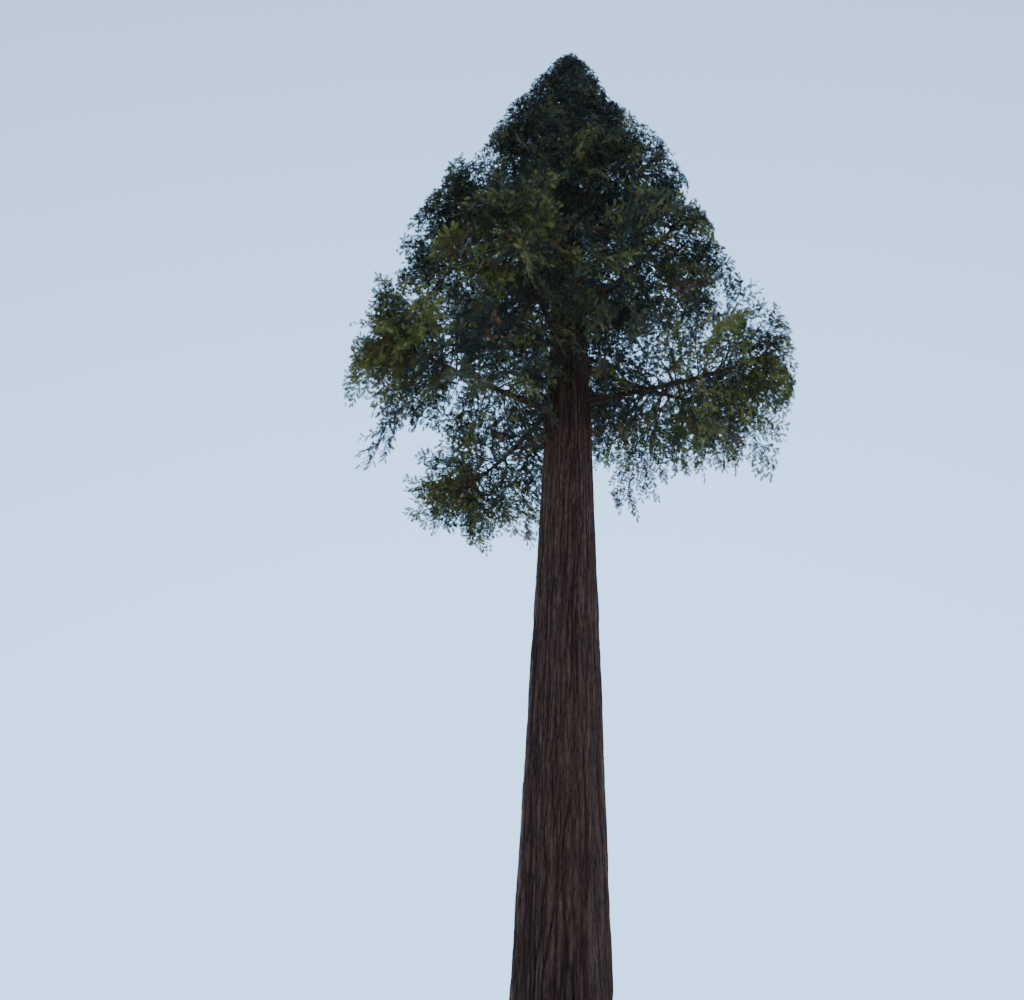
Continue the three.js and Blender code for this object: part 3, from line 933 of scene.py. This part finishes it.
def make_limb(limb):
    """One limb from inside the trunk, through its mass, to the tip of its stem."""
    shares = np.linspace(LIMB_ROOT, STEM_SHARE, LIMB_RINGS)
    rng = np.random.default_rng(limb.seed)
    angle = 2 * np.pi * np.arange(LIMB_SIDES) / LIMB_SIDES
    wave = np.cos(LIMB_RIDGES * angle[None] + LIMB_TWIST * shares[:, None] + rng.uniform(0, LIMB_TURN))
    rough = rng.uniform(-1, 1, (LIMB_RINGS, LIMB_SIDES))
    relief = np.clip(LIMB_RELIEF + LIMB_RELIEF_VARY * (wave + rough), 0, 1)
    lumps = 1 + LIMB_LUMPS * (relief - 0.5)
    rings = tube_points(limb.point(shares), limb.radius_at(shares), LIMB_SIDES, lumps)
    tip = limb.point(STEM_SHARE) + limb.direction(STEM_SHARE) * limb.radius_at(STEM_SHARE)
    ends = (limb.point(LIMB_ROOT), tip)
    kind = "bough" if limb.has_bough else "stem"
    piece = barked_tube(f"{kind}_{limb.name}_with_bark", rings, ends, relief, LIMB_END_RELIEF)
    nodes = [f"bough_{limb.name}"] if limb.has_bough else []
    return add_piece(piece, limb_bark, "bough_bark", *nodes)


# Twigs and twiglets
def make_twigs():
    """All twigs of the fans, as one piece of tapering tubes that are open at both ends."""
    points, faces, start = [], [], 0
    for line, radii, sides in twig_tubes:
        rings = tube_points(line, radii, sides).reshape(-1, 3)
        points.append(rings)
        faces.append(grid_faces(len(line), sides) + start)
        start += len(rings)
    piece = mesh_object("twigs", np.vstack(points), np.vstack(faces), smooth=True)
    return add_piece(piece, twig_bark, "bough_bark", *foliage_nodes)


def twiglet_triangles():
    """The triangles of one twiglet, between its root ring, its bend's ring and its tip."""
    edges = [(corner, (corner + 1) % TWIGLET_SIDES) for corner in range(TWIGLET_SIDES)]
    up = TWIGLET_SIDES
    low = [face for a, b in edges for face in ((a, b, b + up), (a, b + up, a + up))]
    return low + [(a + up, b + up, 2 * up) for a, b in edges]


def make_twiglets():
    """All twiglets, as one piece of three-sided spikes bent once by their own weight."""
    count = len(twiglets["length"])
    side, over = square_to(twiglets["along"])
    corners = []
    for t, thickness in TWIGLET_RINGS:
        middle = twiglet_point(twiglets, np.full(count, t))
        for corner in range(TWIGLET_SIDES):
            turn = 2 * np.pi * corner / TWIGLET_SIDES
            spoke = side * math.cos(turn) + over * math.sin(turn)
            corners.append(middle + thickness * TWIGLET_RADIUS * spoke)
    tips = twiglet_point(twiglets, np.ones(count))
    piece = joined_copies("twiglets", np.stack([*corners, tips], 1), twiglet_triangles())
    return add_piece(piece, twig_bark, "bough_bark", *foliage_nodes)


# Sprays
def spray_template():
    """Points as shares of length, half width and length again, and the triangles between them."""
    points, faces = [], []
    for side, span in TEETH_OF_SIDE.items():
        rib = np.linspace(*span, SPRAY_TEETH + 1)
        for x_from, x_to in zip(rib[:-1], rib[1:]):
            middle = (x_from + x_to) / 2
            width = np.interp(middle, *zip(*SPRAY_PROFILE))
            tip = middle + TOOTH_SWEEP * width
            points += [(x_from, 0, 0), (tip, side * width, -TOOTH_SAG * width), (x_to, 0, 0)]
            last = len(points) - 1
            faces.append((last - 2, last - 1, last) if side < 0 else (last, last - 1, last - 2))
    points += [(x, y, 0) for x, y in SPRAY_END]
    faces.append((len(points) - 3, len(points) - 1, len(points) - 2))
    points = np.array(points)
    points[:, 2] -= SPRAY_SAG * points[:, 0] ** 2
    return points, np.array(faces)


def leaf_classes(rng):
    """Each spray's colour by number: painted light, a lighter copy of the green where it and its fan get
    more light, or russet.
    """
    fan_count, count = len(twiglet_rows), len(sprays["fan"])
    place = np.zeros((fan_count, 3))
    place[sprays["fan"]] = sprays["base"]
    outward = np.hypot(place[:, 0], place[:, 1]) / (crown_radius(place[:, 2]) + CROWN_MARGIN)
    fan_light = FAN_LIGHT["outward"] * outward + FAN_LIGHT["low"] * (1 - up_crown(place[:, 2]))
    fan_light += FAN_LIGHT["vary"] * rng.standard_normal(fan_count)
    light = fan_light[sprays["fan"]] + SPRAY_LIGHT["rim"] * sprays["rim"]
    light += SPRAY_LIGHT["vary"] * rng.standard_normal(count)
    lowness = 1 - up_crown(sprays["base"][:, 2])
    turned = RUSSET_TWIGLETS["least"] + RUSSET_TWIGLETS["low"] * lowness ** RUSSET_TWIGLETS["power"]
    russet = rng.random(len(twiglets["length"]))[sprays["twiglet"]] < turned
    russet &= rng.random(count) < RUSSET_ON_TWIGLET
    # Painted light and shade: each light step picks a more lit copy of the green; russet is the dry leaves'
    # own colour
    return np.where(russet, list(LEAF_COLOURS).index("russet"), np.digitize(light, LIGHT_STEPS))


def spray_points(chosen, template):
    """The template's points, placed for each of the sprays that are chosen by number."""
    along, across = sprays["along"][chosen], sprays["across"][chosen]
    up = np.cross(along, across)
    up *= np.where(up[:, 2:] < 0, -1.0, 1.0)
    shape = (along[:, None] * template[None, :, :1]
             + across[:, None] * template[None, :, 1:2] * SPRAY_HALF_WIDTH
             + up[:, None] * template[None, :, 2:])
    return sprays["base"][chosen][:, None] + sprays["length"][chosen][:, None, None] * shape


def make_sprays():
    """The sprays of each colour, in as many pieces as the limit on triangles asks for."""
    template, triangles = spray_template()
    classes = leaf_classes(np.random.default_rng(SPRAY_SEED + 1))
    per_piece = PIECE_LIMIT // len(triangles)
    for number, key in enumerate(LEAF_COLOURS):
        own = np.flatnonzero(classes == number)
        for part in range(math.ceil(len(own) / per_piece)):
            chosen = own[part * per_piece:(part + 1) * per_piece]
            piece = joined_copies(f"sprays_{key}_{part + 1}", spray_points(chosen, template), triangles)
            add_piece(piece, leaf_materials[key], "foliage", *foliage_nodes)


make_trunk()
for limb in limbs:
    make_limb(limb)
make_twigs()
make_twiglets()
make_sprays()


# Floor, light and camera
def make_floor():
    ground = frame["record"]["mounts"][0]["pos_m"][2]
    turn = 2 * np.pi * np.arange(FLOOR_SIDES) / FLOOR_SIDES
    rim = np.stack([FLOOR_REACH * np.cos(turn), FLOOR_REACH * np.sin(turn), np.full(FLOOR_SIDES, ground)], 1)
    floor = mesh_object("floor", rim, np.arange(FLOOR_SIDES)[None])
    material, _, _, shader = new_material("pale_floor")
    shader.inputs["Base Color"].default_value = FLOOR_COLOUR
    shader.inputs["Roughness"].default_value = FLOOR_ROUGHNESS
    floor.data.materials.append(material)


def add_sun(name, toward, energy, width, colour):
    """A sun whose light comes from the direction toward."""
    light = bpy.data.lights.new(name, "SUN")
    light.energy = energy
    light.angle = math.radians(width)
    light.color = colour
    lamp = bpy.data.objects.new(name, light)
    lamp.rotation_euler = Vector(toward).to_track_quat("Z", "Y").to_euler()
    bpy.context.scene.collection.objects.link(lamp)


def make_light():
    """A soft sky that is dim on the camera's side and bright behind the tree, and two soft suns."""
    world = bpy.data.worlds.new("pale_sky")
    bpy.context.scene.world = world
    world.use_nodes = True
    nodes, links = world.node_tree.nodes, world.node_tree.links
    place = nodes.new("ShaderNodeTexCoord")
    split = nodes.new("ShaderNodeSeparateXYZ")
    links.new(place.outputs["Generated"], split.inputs["Vector"])
    behind = nodes.new("ShaderNodeMapRange")
    behind.inputs["From Min"].default_value = -1
    links.new(split.outputs["Y"], behind.inputs["Value"])
    background = nodes["Background"]
    links.new(add_ramp(nodes, links, behind.outputs["Result"], SKY_STOPS), background.inputs["Color"])
    background.inputs["Strength"].default_value = SKY_STRENGTH
    for name, sun in SUNS.items():
        add_sun(name, *sun)


def make_camera():
    """The camera that the photograph's converging trunks give."""
    length = math.hypot(ZENITH[0], ZENITH[1], FOCAL_PIXELS)
    pitch = math.asin(FOCAL_PIXELS / length)
    roll = math.atan2(ZENITH[0], ZENITH[1])
    ahead = Vector((math.sin(CAMERA_YAW) * math.cos(pitch), math.cos(CAMERA_YAW) * math.cos(pitch),
                    math.sin(pitch)))
    level = Vector((math.cos(CAMERA_YAW), -math.sin(CAMERA_YAW), 0))
    above = level.cross(ahead)
    right = level * math.cos(roll) + above * math.sin(roll)
    up = above * math.cos(roll) - level * math.sin(roll)
    turned = Matrix((right, up, -ahead)).transposed().to_4x4()
    turned.translation = CAMERA_PLACE
    data = bpy.data.cameras.new("camera")
    data.sensor_width = SENSOR_WIDTH
    data.lens = FOCAL_PIXELS / IMAGE_WIDTH * SENSOR_WIDTH
    data.clip_end = CLIP_REACH
    camera = bpy.data.objects.new("camera", data)
    camera.matrix_world = turned
    bpy.context.scene.collection.objects.link(camera)
    bpy.context.scene.camera = camera


make_floor()
make_light()
make_camera()
